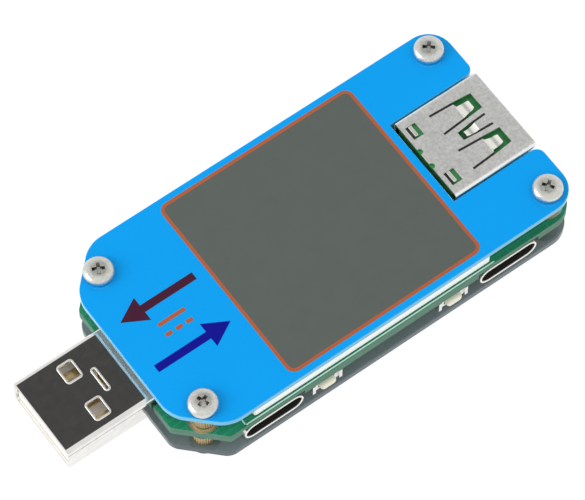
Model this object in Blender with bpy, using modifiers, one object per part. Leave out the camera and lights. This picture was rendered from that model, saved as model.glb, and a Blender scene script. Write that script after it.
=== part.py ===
"""USB power meter: two acrylic plates on brass spacers, with the circuit board between them.

The plug points along -X and the socket opens along +X. The edge with the two USB-C sockets faces -Y,
the display looks up along +Z. The meter rests on the heads of its rear screws, at z = 0, and the
origin is under the middle of its outer box.
"""
import bpy
import bmesh
from math import cos, pi, radians, sin, tan
from mathutils import Matrix, Vector

mm = 0.001

# Clearances
seat_gap = 0.25 * mm       # between pieces that rest on each other
fit_gap = 0.1 * mm         # between a small insert and what holds it
channel_gap = 0.05 * mm    # between a contact and the floor of its channel
slide_gap = 0.1 * mm       # around a button's plunger
run_out = 2.0 * mm         # how far a cutter reaches past what it cuts
full_round = 0.96          # a slot's corner radius, as a share of half its width

# Plates and board
plate_length = 59.0 * mm
plate_width = 30.3 * mm
front_panel_thickness = 1.0 * mm
rear_panel_thickness = 1.2 * mm
board_thickness = 1.6 * mm
lower_space = 3.25 * mm    # from the rear panel to the board
upper_space = 2.75 * mm    # from the board to the front panel
plug_end_chamfer = 5.3 * mm
front_chamfer_round = 4.0 * mm
rear_chamfer_round = 2.0 * mm
board_chamfer_round = 0.6 * mm
socket_end_round = 3.5 * mm
notch_mouth_round = 1.2 * mm
arc_step = radians(15)

# Screws and spacers
screw_radius = 1.0 * mm
screw_tip = 0.3 * mm
rear_screw_grip = 1.6 * mm  # of the rear screw's thread in its spacer
head_radius = 2.0 * mm
head_height = 0.95 * mm
head_dome = 0.45 * mm
head_flat = 1.5 * mm        # radius of the head's flat top
head_shoulder = 1.85 * mm
recess_span = 2.2 * mm
recess_blade = 0.5 * mm
recess_depth = 0.5 * mm
screw_hole_radius = 1.15 * mm
board_hole_radius = 1.2 * mm
spacer_radius = 1.75 * mm
spacer_chamfer = 0.2 * mm
stud_radius = 0.95 * mm
spacer_floor = 0.3 * mm    # under an upper spacer's bore
plug_screw_inset = (4.1 * mm, 4.05 * mm)    # from the plates' end and side edges
socket_screw_inset = (3.0 * mm, 2.8 * mm)
turned_steps = 24

# Display
display_end_gap = 0.2 * mm   # from the display's end to the notch
display_side_inset = 0.45 * mm
ribbon_room = 3.8 * mm       # from the board's plug notch to the display
display_wall = 0.45 * mm
display_pocket_round = 0.15 * mm
glass_thickness = 0.8 * mm
ribbon_width = 10.0 * mm
ribbon_thickness = 0.2 * mm
ribbon_foot = 1.0 * mm
ribbon_slope = 1.0 * mm

# USB-A plug
plug_reach = 12.4 * mm      # how far it stands out of the plates
plug_inside = 4.6 * mm
plug_width = 12.0 * mm
plug_height = 4.5 * mm
plug_round = 0.6 * mm
shell_wall = 0.3 * mm
latch_hole = (2.1 * mm, 2.6 * mm)
latch_hole_back = 6.5 * mm  # from the tip to the middle of the hole
latch_hole_y = 3.05 * mm
latch_hole_round = 0.4 * mm
plug_slot = (0.8 * mm, 3.6 * mm)
plug_slot_back = 9.0 * mm
plug_tongue = 1.75 * mm
plug_tongue_recess = 0.4 * mm
plug_block = 4.6 * mm
contact_wide_pitch = 7.0 * mm
contact_narrow_pitch = 2.0 * mm
contact_width = 1.0 * mm
contact_thickness = 0.2 * mm
contact_recess = 0.6 * mm
contact_foot = 1.0 * mm
tail_gap = 0.8 * mm         # from a shell's end to the board

# USB-A socket
socket_length = 12.75 * mm
socket_width = 13.0 * mm
socket_height = 5.8 * mm
socket_round = 0.5 * mm
socket_side_gap = 0.2 * mm
socket_proud = 0.3 * mm     # above the front panel
socket_set_back = 0.1 * mm
socket_block = 2.2 * mm
socket_tongue = 1.8 * mm
socket_tongue_drop = 0.7 * mm
socket_tongue_width = 11.1 * mm
socket_tongue_recess = 1.2 * mm
spring_slot = 0.35 * mm
spring_tip_gap = 0.8 * mm
spring_root = 4.0 * mm       # from the shell's back end
spring_length = 5.5 * mm
spring_width = 2.7 * mm
spring_y = 3.05 * mm
middle_spring_root = 10.0 * mm
middle_spring_length = 3.6 * mm
middle_spring_width = 1.3 * mm
retainer_window = (1.4 * mm, 2.0 * mm)
retainer_place = (1.35 * mm, 4.0 * mm)   # of its middle, from the back end and the centre line

# USB-C and micro-USB sockets
usb_c_width = 8.9 * mm
usb_c_height = 3.0 * mm
usb_c_sink = 0.9 * mm            # of its seat into the underside of the board
usb_c_depth = 7.3 * mm
usb_c_pocket = 6.6 * mm
usb_c_proud = 0.1 * mm
usb_c_input_inset = 11.8 * mm    # from the plates' plug end
usb_c_output_inset = 10.95 * mm  # from the plates' socket end
usb_c_blade = 0.7 * mm
usb_c_blade_width = 6.6 * mm
usb_c_blade_recess = 1.0 * mm
usb_c_block = 1.4 * mm
micro_usb_width = 7.4 * mm
micro_usb_depth = 5.6 * mm
micro_usb_pocket = 5.0 * mm
micro_usb_slope = 1.0 * mm
micro_usb_round = 0.5 * mm
micro_usb_inset = 11.8 * mm      # from the plates' plug end
micro_usb_blade = 0.6 * mm
micro_usb_blade_width = 3.8 * mm

# Side buttons
button_inset = (20.0 * mm, 19.5 * mm)    # from the plates' plug end and socket end
button_base_width = 4.5 * mm
button_base_depth = 3.3 * mm
button_base_height = 1.9 * mm
button_set_back = 0.35 * mm  # from the plates' edge to the base
button_ear = (0.45 * mm, 0.3 * mm)
plunger_width = 2.3 * mm
plunger_height = 1.25 * mm
plunger_proud = 0.4 * mm     # past the plates' edge
plunger_inside = 1.2 * mm
plunger_round = 0.35 * mm
button_travel = 0.25 * mm

# Derived heights
rear_panel_low = head_height + seat_gap
rear_panel_top = rear_panel_low + rear_panel_thickness
board_low = rear_panel_top + lower_space
board_top = board_low + board_thickness
board_middle = (board_low + board_top) / 2
front_panel_low = board_top + upper_space
front_panel_top = front_panel_low + front_panel_thickness

# Derived places along X and Y
plate_x0 = plug_reach - (plate_length + plug_reach) / 2
plate_x1 = plate_x0 + plate_length
half_width = plate_width / 2
plug_x0 = plate_x0 - plug_reach
plug_x1 = plate_x0 + plug_inside
board_plug_end = plug_x1 + tail_gap
socket_x1 = plate_x1 - socket_set_back
socket_x0 = socket_x1 - socket_length
notch_half = socket_width / 2 + socket_side_gap
notch_x = socket_x0 - seat_gap * 2
socket_top = front_panel_top + socket_proud
socket_low = socket_top - socket_height
socket_middle = (socket_top + socket_low) / 2
display_x1 = notch_x - display_end_gap
display_x0 = board_plug_end + ribbon_room
display_low = board_top + seat_gap
display_top = front_panel_low - seat_gap
display_pocket = glass_thickness + seat_gap + fit_gap
under_top = board_low - seat_gap
usb_c_top = under_top + usb_c_sink
under_low = rear_panel_top + seat_gap
upper_spacer_low = board_top + seat_gap
rear_screw_tip = under_low + rear_screw_grip
contact_rows = (-contact_wide_pitch / 2, -contact_narrow_pitch / 2,
                contact_narrow_pitch / 2, contact_wide_pitch / 2)
plug_screw = (plate_x0 + plug_screw_inset[0], half_width - plug_screw_inset[1])
socket_screw = (plate_x1 - socket_screw_inset[0], half_width - socket_screw_inset[1])
usb_c_face = -half_width - usb_c_proud
usb_c_places = {
    "usb_c_input": plate_x0 + usb_c_input_inset,
    "usb_c_output": plate_x1 - usb_c_output_inset,
}
screw_places = {
    "plug_near": (plug_screw[0], -plug_screw[1]),
    "plug_far": plug_screw,
    "socket_near": (socket_screw[0], -socket_screw[1]),
    "socket_far": socket_screw,
}

# How a flat outline is turned before it is pushed through its depth. In each case the outline's own
# y axis points up in the model, apart from "up", where the outline lies flat.
facings = {
    "up": (0.0, 0.0, 0.0),
    "plus_x": (pi / 2, 0.0, pi / 2),
    "minus_y": (pi / 2, 0.0, 0.0),
    "plus_y": (pi / 2, 0.0, pi),
}


def clear_scene():
    for item in list(bpy.data.objects):
        bpy.data.objects.remove(item, do_unlink=True)


def new_collection(name):
    collection = bpy.data.collections.new(name)
    bpy.context.scene.collection.children.link(collection)
    return collection


def material(name, colour, roughness, metallic=0.0):
    result = bpy.data.materials.new(name)
    result.use_nodes = True
    shader = result.node_tree.nodes["Principled BSDF"]
    shader.inputs["Base Color"].default_value = (*colour, 1.0)
    shader.inputs["Roughness"].default_value = roughness
    shader.inputs["Metallic"].default_value = metallic
    result.diffuse_color = (*colour, 1.0)
    return result


def add_object(name, mesh, finish, location=(0, 0, 0), facing="up"):
    piece = bpy.data.objects.new(name, mesh)
    piece.location = location
    piece.rotation_euler = facings[facing]
    if finish is None:
        cutters.objects.link(piece)
        piece.hide_render = True
        piece.display_type = "WIRE"
    else:
        parts.objects.link(piece)
        if not mesh.materials:
            mesh.materials.append(finish)
    return piece


def rounded_loop(corners):
    """Points of an outline whose corners, (x, y, radius) each, are given anticlockwise."""
    points = []
    for i, (x, y, radius) in enumerate(corners):
        here = Vector((x, y))
        before = Vector(corners[i - 1][:2]) - here
        after = Vector(corners[(i + 1) % len(corners)][:2]) - here
        before.normalize()
        after.normalize()
        turn = pi - before.angle(after)
        if radius <= 0:
            points.append(here)
            continue
        start = here + before * radius * tan(turn / 2)
        centre = here + (before + after).normalized() * radius / cos(turn / 2)
        left_turn = before.cross(after) < 0
        steps = max(2, round(turn / arc_step))
        for step in range(steps + 1):
            angle = turn * step / steps * (1 if left_turn else -1)
            points.append(centre + Matrix.Rotation(angle, 2) @ (start - centre))
    return points


def rectangle(x0, x1, y0, y1, radius=0.0):
    return rounded_loop([(x0, y0, radius), (x1, y0, radius), (x1, y1, radius), (x0, y1, radius)])


def circle(x, y, radius, steps=turned_steps):
    return [Vector((x + radius * cos(2 * pi * i / steps), y + radius * sin(2 * pi * i / steps)))
            for i in range(steps)]


def prism_mesh(name, loops, low, high):
    """A flat outline, with its holes as further loops, pushed from low to high along its own z."""
    curve = bpy.data.curves.new(name, "CURVE")
    curve.dimensions = "2D"
    curve.fill_mode = "BOTH"
    curve.extrude = (high - low) / 2
    for loop in loops:
        spline = curve.splines.new("POLY")
        spline.points.add(len(loop) - 1)
        for point, place in zip(spline.points, loop):
            point.co = (place.x, place.y, 0.0, 1.0)
        spline.use_cyclic_u = True
    guide = bpy.data.objects.new(name, curve)
    bpy.context.scene.collection.objects.link(guide)
    evaluated = guide.evaluated_get(bpy.context.evaluated_depsgraph_get())
    mesh = bpy.data.meshes.new_from_object(evaluated)
    bpy.data.objects.remove(guide)
    bpy.data.curves.remove(curve)
    mesh.transform(Matrix.Translation((0, 0, (low + high) / 2)))
    shape = bmesh.new()
    shape.from_mesh(mesh)
    bmesh.ops.remove_doubles(shape, verts=shape.verts, dist=1e-7)
    bmesh.ops.recalc_face_normals(shape, faces=shape.faces)
    shape.to_mesh(mesh)
    shape.free()
    mesh.name = name
    return mesh


def prism(name, loops, low, high, finish, location=(0, 0, 0), facing="up"):
    return add_object(name, prism_mesh(name, loops, low, high), finish, location, facing)


def box(name, x0, x1, y0, y1, z0, z1, finish):
    mesh = bpy.data.meshes.new(name)
    shape = bmesh.new()
    bmesh.ops.create_cube(shape, size=1.0)
    bmesh.ops.scale(shape, vec=(x1 - x0, y1 - y0, z1 - z0), verts=shape.verts)
    shape.to_mesh(mesh)
    shape.free()
    return add_object(name, mesh, finish, ((x0 + x1) / 2, (y0 + y1) / 2, (z0 + z1) / 2))


def cup(name, outline, depth, wall, pocket, finish, location, facing):
    """An outline with a pocket in its front, which is at z = 0 of the outline's own axes."""
    mesh = bpy.data.meshes.new(name)
    shape = bmesh.new()
    front = shape.faces.new([shape.verts.new((p.x, p.y, 0.0)) for p in outline])
    back = bmesh.ops.extrude_face_region(shape, geom=[front], use_keep_orig=True)
    back_verts = [item for item in back["geom"] if isinstance(item, bmesh.types.BMVert)]
    bmesh.ops.translate(shape, vec=(0, 0, -depth), verts=back_verts)
    bmesh.ops.recalc_face_normals(shape, faces=shape.faces)
    bmesh.ops.inset_region(shape, faces=[front], thickness=wall, use_even_offset=True)
    floor = bmesh.ops.extrude_face_region(shape, geom=[front])
    floor_verts = [item for item in floor["geom"] if isinstance(item, bmesh.types.BMVert)]
    bmesh.ops.translate(shape, vec=(0, 0, -pocket), verts=floor_verts)
    bmesh.ops.delete(shape, geom=[front], context="FACES_ONLY")
    bmesh.ops.recalc_face_normals(shape, faces=shape.faces)
    shape.to_mesh(mesh)
    shape.free()
    return add_object(name, mesh, finish, location, facing)


def tube(name, outline, wall, low, high, finish, location, facing):
    """An outline's wall, open at both ends, from low to high along the outline's own z."""
    mesh = bpy.data.meshes.new(name)
    shape = bmesh.new()
    middle = shape.faces.new([shape.verts.new((p.x, p.y, low)) for p in outline])
    shape.normal_update()
    ring = bmesh.ops.inset_individual(shape, faces=[middle], thickness=wall, use_even_offset=True)["faces"]
    bmesh.ops.delete(shape, geom=[middle], context="FACES_ONLY")
    other_end = bmesh.ops.extrude_face_region(shape, geom=ring, use_keep_orig=True)
    verts = [item for item in other_end["geom"] if isinstance(item, bmesh.types.BMVert)]
    bmesh.ops.translate(shape, vec=(0, 0, high - low), verts=verts)
    bmesh.ops.recalc_face_normals(shape, faces=shape.faces)
    shape.to_mesh(mesh)
    shape.free()
    return add_object(name, mesh, finish, location, facing)


def turned_mesh(name, profile):
    """A profile of (radius, height) points, from the top down its outer side, turned about z."""
    mesh = bpy.data.meshes.new(name)
    shape = bmesh.new()
    verts = [shape.verts.new((radius, 0.0, height)) for radius, height in profile]
    for first, second in zip(verts, verts[1:]):
        shape.edges.new((first, second))
    bmesh.ops.remove_doubles(shape, verts=shape.verts, dist=1e-7)
    shape.to_mesh(mesh)
    shape.free()
    guide = bpy.data.objects.new(name, mesh)
    bpy.context.scene.collection.objects.link(guide)
    screw = guide.modifiers.new("turn", "SCREW")
    screw.axis = "Z"
    screw.steps = turned_steps
    screw.render_steps = turned_steps
    screw.use_merge_vertices = True
    screw.merge_threshold = 1e-6
    return freeze(guide)


def freeze(guide):
    """The mesh of a guide object with its modifiers applied; the guide is removed."""
    bpy.context.view_layer.update()
    evaluated = guide.evaluated_get(bpy.context.evaluated_depsgraph_get())
    mesh = bpy.data.meshes.new_from_object(evaluated)
    bpy.data.objects.remove(guide)
    return mesh


def cut(piece, cutter):
    boolean = piece.modifiers.new("cut " + cutter.name, "BOOLEAN")
    boolean.operation = "DIFFERENCE"
    boolean.object = cutter


def plate_corners(chamfer_round, notches):
    """The outline that the plates and the board share, with each end's notch where one is asked for."""
    x0, x1, y = plate_x0, plate_x1, half_width
    near = [(x0 + plug_end_chamfer, -y, chamfer_round), (x1, -y, socket_end_round)]
    far = [(x1, y, socket_end_round), (x0 + plug_end_chamfer, y, chamfer_round)]
    end = [(x0, y - plug_end_chamfer, chamfer_round), (x0, -y + plug_end_chamfer, chamfer_round)]
    socket_notch = [(x1, -notch_half, notch_mouth_round), (notch_x, -notch_half, 0.0),
                    (notch_x, notch_half, 0.0), (x1, notch_half, notch_mouth_round)]
    plug_half = plug_width / 2 + seat_gap
    plug_notch = [(x0, plug_half, 0.0), (board_plug_end, plug_half, 0.0),
                  (board_plug_end, -plug_half, 0.0), (x0, -plug_half, 0.0)]
    corners = near + (socket_notch if "socket" in notches else []) + far
    return corners + end[:1] + (plug_notch if "plug" in notches else []) + end[1:]


def add_plates():
    holes = [circle(x, y, screw_hole_radius) for x, y in screw_places.values()]
    board_holes = [circle(x, y, board_hole_radius) for x, y in screw_places.values()]
    front = rounded_loop(plate_corners(front_chamfer_round, ("socket",)))
    rear = rounded_loop(plate_corners(rear_chamfer_round, ()))
    board = rounded_loop(plate_corners(board_chamfer_round, ("socket", "plug")))
    prism("front_panel", [front] + holes, front_panel_low, front_panel_top, blue_acrylic)
    prism("rear_panel", [rear] + holes, rear_panel_low, rear_panel_top, smoke_acrylic)
    main_board = prism("main_board", [board] + board_holes, board_low, board_top, green_board)
    reach = usb_c_width / 2 + seat_gap
    for x in usb_c_places.values():
        cut(main_board, box("usb_c_seat_cutter", x - reach, x + reach, -half_width - run_out,
                            usb_c_face + usb_c_depth + seat_gap, board_low - run_out,
                            usb_c_top + seat_gap, None))


def cross_recess():
    arm, blade = recess_span / 2, recess_blade / 2
    quarter = [(arm, -blade), (arm, blade), (blade, blade)]
    points = []
    for turn in range(4):
        spin = Matrix.Rotation(turn * pi / 2, 2)
        points += [spin @ Vector(place) for place in quarter]
    return points


def screw_mesh(length):
    """A pan-head screw, upright, with the underside of its head at z = 0."""
    side = head_height - head_dome
    profile = [(0.0, head_height), (head_flat, head_height), (head_shoulder, side + head_dome * 0.6),
               (head_radius, side), (head_radius, 0.0), (screw_radius, 0.0), (screw_radius, screw_tip - length),
               (screw_radius - screw_tip, -length), (0.0, -length)]
    head = bpy.data.objects.new("screw", turned_mesh("screw", profile))
    bpy.context.scene.collection.objects.link(head)
    recess = prism("screw_recess", [cross_recess()], head_height - recess_depth, head_height + run_out, None)
    cut(head, recess)
    return freeze(head)


def add_screws():
    front_seat = front_panel_top + seat_gap
    front = screw_mesh(front_seat - upper_spacer_low - spacer_floor - seat_gap)
    rear = screw_mesh(rear_screw_tip - head_height)
    for place, (x, y) in screw_places.items():
        add_object("front_screw_" + place, front, bright_steel, (x, y, front_seat))
        rear_screw = add_object("rear_screw_" + place, rear, bright_steel, (x, y, head_height))
        rear_screw.rotation_euler = (pi, 0, 0)


def spacer_side(height):
    """The outer side of a spacer, from the rim of its bore at the top to its lower end."""
    c = spacer_chamfer
    return [(screw_hole_radius, height), (spacer_radius - c, height), (spacer_radius, height - c),
            (spacer_radius, c), (spacer_radius - c, 0.0)]


def add_spacers():
    """Upper spacers with a blind bore and a stud through the board, and lower ones bored through."""
    upper_height = front_panel_low - seat_gap - upper_spacer_low
    stud = upper_spacer_low - rear_screw_tip - seat_gap
    bore_floor = [(0.0, spacer_floor), (screw_hole_radius, spacer_floor)]
    stud_side = [(stud_radius, 0.0), (stud_radius, -stud), (0.0, -stud)]
    upper = turned_mesh("upper_spacer", bore_floor + spacer_side(upper_height) + stud_side)
    lower_height = under_top - under_low
    bore = [(screw_hole_radius, 0.0), (screw_hole_radius, lower_height)]
    lower = turned_mesh("lower_spacer", spacer_side(lower_height) + bore)
    for place, (x, y) in screw_places.items():
        add_object("upper_spacer_" + place, upper, brass, (x, y, upper_spacer_low))
        add_object("lower_spacer_" + place, lower, brass, (x, y, under_low))


def add_display():
    y = half_width - display_side_inset
    outline = rectangle(display_x0, display_x1, -y, y, display_wall + display_pocket_round)
    cup("display_housing", outline, display_top - display_low, display_wall, display_pocket,
        white_plastic, (0, 0, display_top), "up")
    inset = display_wall + fit_gap
    glass = rectangle(display_x0 + inset, display_x1 - inset, -y + inset, y - inset)
    glass_low = display_top - display_pocket + seat_gap
    prism("display_glass", [glass], glass_low, glass_low + glass_thickness, dark_glass)
    start = display_x0 - seat_gap
    low = board_top + seat_gap
    high = display_top - glass_thickness
    t = ribbon_thickness
    ribbon = [(start, high), (start - t, high), (start - ribbon_slope, low + t),
              (start - ribbon_slope - ribbon_foot, low + t), (start - ribbon_slope - ribbon_foot, low),
              (start - ribbon_slope, low)]
    loop = [Vector(place) for place in reversed(ribbon)]
    prism("display_ribbon", [loop], -ribbon_width / 2, ribbon_width / 2, amber_film, facing="minus_y")


def add_plug():
    y, z = plug_width / 2, plug_height / 2
    shell = tube("plug_shell", rectangle(-y, y, -z, z, plug_round), shell_wall, plug_x0, plug_x1,
                 polished_steel, (0, 0, board_middle), "plus_x")
    hole_x = plug_x0 + latch_hole_back
    length, width = latch_hole[0] / 2, latch_hole[1] / 2
    for side in (-1, 1):
        hole = rectangle(hole_x - length, hole_x + length,
                         side * latch_hole_y - width, side * latch_hole_y + width, latch_hole_round)
        cutter = prism("latch_hole_cutter", [hole], board_middle - z - run_out,
                       board_middle + z + run_out, None)
        cut(shell, cutter)
    slot_x = plug_x0 + plug_slot_back
    length, width = plug_slot[0] / 2, plug_slot[1] / 2
    slot = rectangle(slot_x - length, slot_x + length, -width, width, length * full_round)
    cut(shell, prism("plug_slot_cutter", [slot], board_middle, board_middle + z + run_out, None))

    low = board_middle - z + shell_wall + fit_gap
    top = low + plug_tongue
    block_top = board_middle + z - shell_wall - fit_gap
    front, back = plug_x0 + plug_tongue_recess, plug_x1 - fit_gap
    block_front = back - plug_block
    profile = [(front, low), (back, low), (back, block_top), (block_front, block_top),
               (block_front, top), (front, top)]
    half = y - shell_wall - fit_gap
    insulator = prism("plug_insulator", [[Vector(p) for p in profile]], -half, half, cream_plastic,
                      facing="minus_y")
    contact_low = top + fit_gap
    contact_top = contact_low + contact_thickness
    bend = plug_x1 + tail_gap / 2
    foot_low = board_top + seat_gap
    t = contact_thickness
    strip = [(front + contact_recess, contact_low), (bend, contact_low), (bend, foot_low),
             (board_plug_end + contact_foot, foot_low), (board_plug_end + contact_foot, foot_low + t),
             (bend - t, foot_low + t), (bend - t, contact_top), (front + contact_recess, contact_top)]
    mesh = prism_mesh("plug_contact", [[Vector(p) for p in strip]], -contact_width / 2, contact_width / 2)
    for i, row in enumerate(contact_rows, 1):
        channel = box("plug_channel_cutter", block_front - run_out, back + run_out,
                      row - contact_width / 2 - fit_gap, row + contact_width / 2 + fit_gap,
                      contact_low - channel_gap, contact_top + fit_gap, None)
        cut(insulator, channel)
        add_object(f"plug_contact_{i}", mesh, gold, (0, row, 0), "minus_y")


def spring_slots(x, y, length, width, direction):
    """A U-shaped slot round a spring tongue whose root is at x and whose tip points along direction."""
    s, half = spring_slot, width / 2
    outline = [(0.0, -half - s), (length + spring_tip_gap, -half - s), (length + spring_tip_gap, half + s),
               (0.0, half + s), (0.0, half), (length, half), (length, -half), (0.0, -half)]
    return [Vector((x + direction * px, y + direction * py)) for px, py in outline]


def add_socket():
    y, z = socket_width / 2, socket_height / 2
    shell = tube("socket_shell", rectangle(-y, y, -z, z, socket_round), shell_wall, socket_x0, socket_x1,
                 silver_steel, (0, 0, socket_middle), "plus_x")
    middle = spring_slots(socket_x0 + middle_spring_root, 0.0, middle_spring_length,
                          middle_spring_width, -1)
    slots = [middle]
    window_x = socket_x0 + retainer_place[0] - retainer_window[0] / 2
    for side in (-1, 1):
        slots.append(spring_slots(socket_x0 + spring_root, side * spring_y, spring_length,
                                  spring_width, 1))
        low = side * retainer_place[1] - retainer_window[1] / 2
        slots.append(rectangle(window_x, window_x + retainer_window[0], low, low + retainer_window[1]))
    for loop in slots:
        cut(shell, prism("socket_window_cutter", [loop], socket_top - shell_wall * 2,
                         socket_top + run_out, None))

    low, top = socket_low + shell_wall + fit_gap, socket_top - shell_wall - fit_gap
    back = socket_x0 + fit_gap
    block_front = back + socket_block
    tongue_top = socket_top - shell_wall - socket_tongue_drop
    tongue_low = tongue_top - socket_tongue
    front = socket_x1 - socket_tongue_recess
    profile = [(back, low), (block_front, low), (block_front, tongue_low), (front, tongue_low),
               (front, tongue_top), (block_front, tongue_top), (block_front, top), (back, top)]
    half = socket_tongue_width / 2
    insulator = prism("socket_insulator", [[Vector(p) for p in profile]], -half, half, green_plastic,
                      facing="minus_y")
    t = contact_thickness
    contact_top = tongue_low - fit_gap
    contact_low = contact_top - t
    bend = socket_x0 - fit_gap
    foot_top = board_low - seat_gap
    end = notch_x - contact_foot
    strip = [(front - contact_recess, contact_top), (bend - t, contact_top), (bend - t, foot_top),
             (end, foot_top), (end, foot_top - t), (bend, foot_top - t), (bend, contact_low),
             (front - contact_recess, contact_low)]
    mesh = prism_mesh("socket_contact", [[Vector(p) for p in strip]], -contact_width / 2, contact_width / 2)
    for i, row in enumerate(contact_rows, 1):
        channel = box("socket_channel_cutter", back - run_out, block_front + run_out,
                      row - contact_width / 2 - fit_gap, row + contact_width / 2 + fit_gap,
                      contact_low - fit_gap, contact_top + channel_gap, None)
        cut(insulator, channel)
        add_object(f"socket_contact_{i}", mesh, gold, (0, row, 0), "minus_y")


def add_usb_c(name, x):
    height = usb_c_height
    outline = rectangle(-usb_c_width / 2, usb_c_width / 2, -height / 2, height / 2, height / 2 * full_round)
    middle = usb_c_top - height / 2
    cup(name + "_shell", outline, usb_c_depth, shell_wall, usb_c_pocket, silver_steel,
        (x, usb_c_face, middle), "minus_y")
    floor_y = usb_c_face + usb_c_pocket - fit_gap
    front_y = usb_c_face + usb_c_blade_recess
    add_tongue(name + "_tongue", x, middle, front_y, floor_y, usb_c_block, usb_c_blade,
               height - 2 * shell_wall - 2 * fit_gap, usb_c_blade_width)


def add_tongue(name, x, z, front_y, floor_y, block, blade, height, width):
    """A socket's tongue and the block that it stands on, against the floor of the shell's pocket."""
    inward = 1 if floor_y > front_y else -1
    block_y = floor_y - inward * block
    profile = [(front_y, -blade / 2), (block_y, -blade / 2), (block_y, -height / 2),
               (floor_y, -height / 2), (floor_y, height / 2), (block_y, height / 2),
               (block_y, blade / 2), (front_y, blade / 2)]
    prism(name, [[Vector(p) for p in profile]], x - width / 2, x + width / 2, black_plastic,
          (0, 0, z), "plus_x")


def add_micro_usb():
    height = under_top - under_low
    half, slope = micro_usb_width / 2, micro_usb_slope
    low, high = -height / 2, height / 2
    corners = [(-half + slope, low), (half - slope, low), (half, 0.0),
               (half, high), (-half, high), (-half, 0.0)]
    outline = rounded_loop([(*corner, micro_usb_round) for corner in corners])
    middle = (under_top + under_low) / 2
    face_y = half_width + usb_c_proud
    x = plate_x0 + micro_usb_inset
    cup("micro_usb_shell", outline, micro_usb_depth, shell_wall, micro_usb_pocket, silver_steel,
        (x, face_y, middle), "plus_y")
    add_tongue("micro_usb_tongue", x, middle, face_y - usb_c_blade_recess,
               face_y - micro_usb_pocket + fit_gap, usb_c_block, micro_usb_blade,
               height - 2 * shell_wall - 2 * fit_gap, micro_usb_blade_width)


def add_side_button(name, x, side):
    """A switch base under the board's edge and its plunger; side is -1 for the near edge."""
    facing = "minus_y" if side < 0 else "plus_y"
    middle = under_top - button_base_height / 2
    face_y = side * (half_width - button_set_back)
    half, z = button_base_width / 2, button_base_height / 2
    outline = rectangle(-half, half, -z, z)
    base = prism(name + "_base", [outline], -button_base_depth, button_ear[1], bright_steel,
                 (x, face_y, middle), facing)
    inner = half - button_ear[0]
    front = prism("button_front_cutter", [rectangle(-inner, inner, -z - run_out, z + run_out)],
                  0.0, run_out, None, (x, face_y, middle), facing)
    cut(base, front)
    w, h = plunger_width / 2, plunger_height / 2
    room = slide_gap
    hole = rectangle(-w - room, w + room, -h - room, h + room, plunger_round)
    pocket_depth = plunger_inside + button_travel + room
    pocket = prism("button_pocket_cutter", [hole], -pocket_depth, run_out, None,
                   (x, face_y, middle), facing)
    cut(base, pocket)
    shape = rectangle(-w, w, -h, h, plunger_round)
    prism(name + "_plunger", [shape], -plunger_inside, button_set_back + plunger_proud, cream_plastic,
          (x, face_y, middle), facing)


def add_side_buttons():
    places = (plate_x0 + button_inset[0], plate_x1 - button_inset[1])
    for i, x in enumerate(places, 1):
        add_side_button(f"near_button_{i}", x, -1)
        add_side_button(f"far_button_{i}", x, 1)


def add_board_parts():
    """The parts soldered under the board, measured from its plug notch or from its middle."""
    middle = (plate_x0 + plate_x1) / 2
    end = board_plug_end
    # name, measured from, place and size in millimetres, finish
    chips = [
        ("microcontroller", middle, (0.0, 0.0), (10.0, 10.0, 1.4), black_plastic),
        ("memory_chip", middle, (0.0, 8.6), (5.0, 4.0, 1.5), black_plastic),
        ("clock_crystal", middle, (8.5, 6.5), (3.2, 2.5, 0.8), silver_steel),
        ("shunt_resistor", end, (5.1, 0.5), (3.2, 6.4, 0.7), black_plastic),
        ("input_capacitor", end, (5.1, -5.6), (3.2, 1.6, 1.6), brown_ceramic),
        ("sense_amplifier", end, (10.0, 3.4), (3.0, 3.0, 1.0), black_plastic),
        ("voltage_regulator", end, (15.8, -6.6), (4.5, 2.5, 1.5), black_plastic),
    ]
    for name, start, (x, y), (length, width, height), finish in chips:
        x0, y0 = start + (x - length / 2) * mm, (y - width / 2) * mm
        box(name, x0, x0 + length * mm, y0, y0 + width * mm, under_top - height * mm, under_top, finish)


clear_scene()
parts = new_collection("usb_power_meter")
cutters = new_collection("cutters")

blue_acrylic = material("blue_acrylic", (0.01, 0.37, 0.90), 0.12)
smoke_acrylic = material("smoke_acrylic", (0.13, 0.18, 0.20), 0.12)
green_board = material("green_board", (0.01, 0.16, 0.10), 0.35)
white_plastic = material("white_plastic", (0.85, 0.88, 0.87), 0.45)
dark_glass = material("dark_glass", (0.11, 0.12, 0.115), 0.08)
amber_film = material("amber_film", (0.55, 0.25, 0.05), 0.35)
polished_steel = material("polished_steel", (0.75, 0.75, 0.74), 0.12, 1.0)
silver_steel = material("silver_steel", (0.62, 0.61, 0.58), 0.35, 1.0)
bright_steel = material("bright_steel", (0.72, 0.71, 0.69), 0.25, 1.0)
brass = material("brass", (0.78, 0.56, 0.22), 0.3, 1.0)
gold = material("gold", (0.85, 0.60, 0.28), 0.25, 1.0)
cream_plastic = material("cream_plastic", (0.82, 0.78, 0.64), 0.45)
green_plastic = material("green_plastic", (0.03, 0.25, 0.08), 0.45)
black_plastic = material("black_plastic", (0.02, 0.02, 0.02), 0.5)
brown_ceramic = material("brown_ceramic", (0.35, 0.22, 0.13), 0.5)

add_plates()
add_screws()
add_spacers()
add_display()
add_plug()
add_socket()
for name, x in usb_c_places.items():
    add_usb_c(name, x)
add_micro_usb()
add_side_buttons()
add_board_parts()
for piece in parts.objects:
    piece.data.set_sharp_from_angle(angle=radians(35))
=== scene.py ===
"""The finished look of the USB power meter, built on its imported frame."""
from math import atan2, cos, pi, radians, tan

import bmesh
import bpy
from mathutils import Matrix, Vector


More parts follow.
